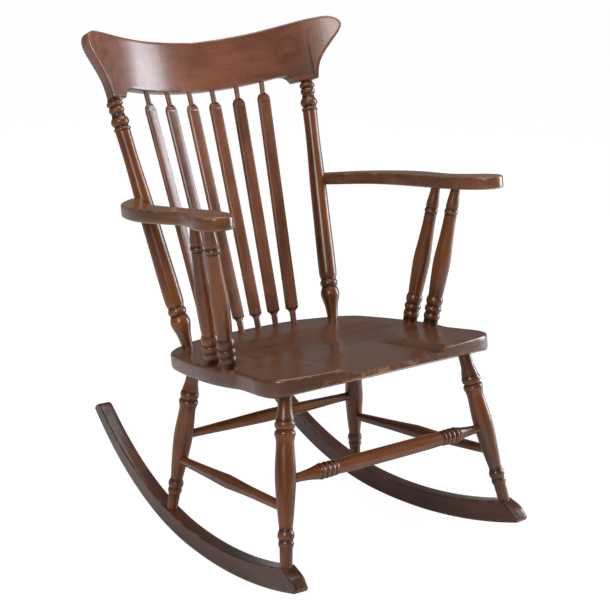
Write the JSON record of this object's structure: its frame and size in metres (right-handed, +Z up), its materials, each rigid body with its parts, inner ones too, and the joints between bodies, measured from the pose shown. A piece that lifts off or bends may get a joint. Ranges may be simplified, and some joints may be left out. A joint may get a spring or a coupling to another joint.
{
  "type": "rocking chair",
  "caption": "Wooden rocking chair with turned legs and posts, flat back slats under a curved crest rail, open arms on turned supports and a dished board seat.",
  "frame": {"origin": "on the floor, in the middle of the chair from side to side, midway between the rockers' front and back tips", "axes": "+Z up from the floor, -Y the way the chair faces, +X to the sitter's left"},
  "size_m": [0.6962, 0.8706, 1.0113],
  "materials": {
    "seat_wood": "dark walnut stain under semi-gloss lacquer, worn pale at the edges",
    "crest_wood": "dark reddish-brown stain under gloss lacquer",
    "arm_wood": "dark reddish-brown stain under gloss lacquer",
    "rocker_wood": "dark brown stain under satin lacquer, worn at the noses",
    "slat_wood": "dark reddish-brown stain under gloss lacquer",
    "turned_wood": "dark reddish-brown stain under gloss lacquer",
    "plug_wood": "dark stained end grain",
    "steel": "plain zinc-plated steel"
  },
  "bodies": {
    "root": {"arm_left": "arm_wood", "arm_plug_left": "plug_wood", "arm_plug_right": "plug_wood", "arm_right": "arm_wood", "arm_screw_left": "steel", "arm_screw_right": "steel", "arm_support_front_left": "turned_wood", "arm_support_front_right": "turned_wood", "arm_support_rear_left": "turned_wood", "arm_support_rear_right": "turned_wood", "back_post_left": "turned_wood", "back_post_right": "turned_wood", "crest_pin_left": "plug_wood", "crest_pin_right": "plug_wood", "crest_rail": "crest_wood", "leg_front_left": "turned_wood", "leg_front_right": "turned_wood", "leg_rear_left": "turned_wood", "leg_rear_right": "turned_wood", "rocker_left": "rocker_wood", "rocker_plug_front_left": "plug_wood", "rocker_plug_front_right": "plug_wood", "rocker_plug_rear_left": "plug_wood", "rocker_plug_rear_right": "plug_wood", "rocker_right": "rocker_wood", "rocker_screw_front_left": "steel", "rocker_screw_front_right": "steel", "rocker_screw_rear_left": "steel", "rocker_screw_rear_right": "steel", "seat": "seat_wood", "slat_1_left": "slat_wood", "slat_1_right": "slat_wood", "slat_2_left": "slat_wood", "slat_2_right": "slat_wood", "slat_3_left": "slat_wood", "slat_3_right": "slat_wood", "stretcher_front": "turned_wood", "stretcher_rear": "turned_wood", "stretcher_side_left": "turned_wood", "stretcher_side_right": "turned_wood"}
  },
  "joints": []
}
